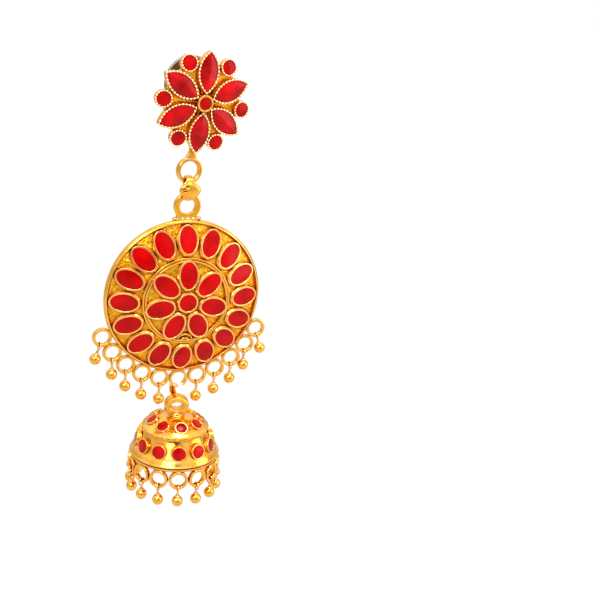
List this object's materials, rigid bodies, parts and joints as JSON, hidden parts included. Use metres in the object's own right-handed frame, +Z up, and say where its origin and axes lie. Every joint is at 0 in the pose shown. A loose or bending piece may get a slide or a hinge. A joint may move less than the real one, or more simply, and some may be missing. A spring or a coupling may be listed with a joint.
{
  "type": "jhumka earring",
  "caption": "Long drop earring: an enamelled flower stud on an ear post, a domed disc of set stones with a ball fringe, and a hooked bell-shaped drop.",
  "frame": {"origin": "where the ear post leaves the flat back of the stud", "axes": "+Z up as worn, the front of the stud facing -Y, the post running along +Y into the ear"},
  "size_m": [0.0368, 0.0215, 0.0922],
  "materials": {
    "gold": "polished yellow gold plate, with a fine grainy floor in the disc",
    "enamel": "glossy translucent red enamel",
    "clutch": "satin grey metal"
  },
  "bodies": {
    "stud": {"stud_flower": "gold", "stud_petal_1": "enamel", "stud_petal_2": "enamel", "stud_petal_3": "enamel", "stud_petal_4": "enamel", "stud_petal_5": "enamel", "stud_petal_6": "enamel", "stud_bud_1": "enamel", "stud_bud_2": "enamel", "stud_bud_3": "enamel", "stud_bud_4": "enamel", "stud_bud_5": "enamel", "stud_bud_6": "enamel", "stud_hub": "enamel"},
    "clutch": {"ear_clutch": "clutch"},
    "link": {"drop_link": "gold"},
    "pendant": {"disc": "gold", "disc_oval_1": "enamel", "disc_oval_2": "enamel", "disc_oval_3": "enamel", "disc_oval_4": "enamel", "disc_oval_5": "enamel", "disc_oval_6": "enamel", "disc_oval_7": "enamel", "disc_oval_8": "enamel", "disc_oval_9": "enamel", "disc_oval_10": "enamel", "disc_oval_11": "enamel", "disc_oval_12": "enamel", "disc_oval_13": "enamel", "disc_oval_14": "enamel", "disc_oval_15": "enamel", "disc_oval_16": "enamel", "disc_petal_1": "enamel", "disc_petal_2": "enamel", "disc_petal_3": "enamel", "disc_petal_4": "enamel", "disc_petal_5": "enamel", "disc_petal_6": "enamel", "disc_petal_7": "enamel", "disc_boss": "enamel", "disc_drop_1": "gold", "disc_drop_2": "gold", "disc_drop_3": "gold", "disc_drop_4": "gold", "disc_drop_5": "gold", "disc_drop_6": "gold", "disc_drop_7": "gold", "disc_drop_8": "gold", "disc_drop_9": "gold", "disc_drop_10": "gold"},
    "bell": {"bell": "gold"}
  },
  "joints": [
    {"name": "link_swing", "type": "hinge", "parent": "stud", "child": "link", "pos_m": [-0.00181, -0.0004, -0.01805], "axis": [0.9914, -0.1305, 0], "range_deg": [-35, 35]},
    {"name": "disc_sway", "type": "hinge", "parent": "link", "child": "pendant", "pos_m": [-0.00181, -0.0004, -0.023], "axis": [0.1305, 0.9914, 0], "range_deg": [-30, 30]},
    {"name": "bell_sway", "type": "hinge", "parent": "pendant", "child": "bell", "pos_m": [-0.00181, -0.0004, -0.0652], "axis": [0.1305, 0.9914, 0], "range_deg": [-22, 22]},
    {"name": "clutch_slide", "type": "slide", "parent": "stud", "child": "clutch", "axis": [0, 1, 0], "range_m": [0, 0.006]}
  ]
}
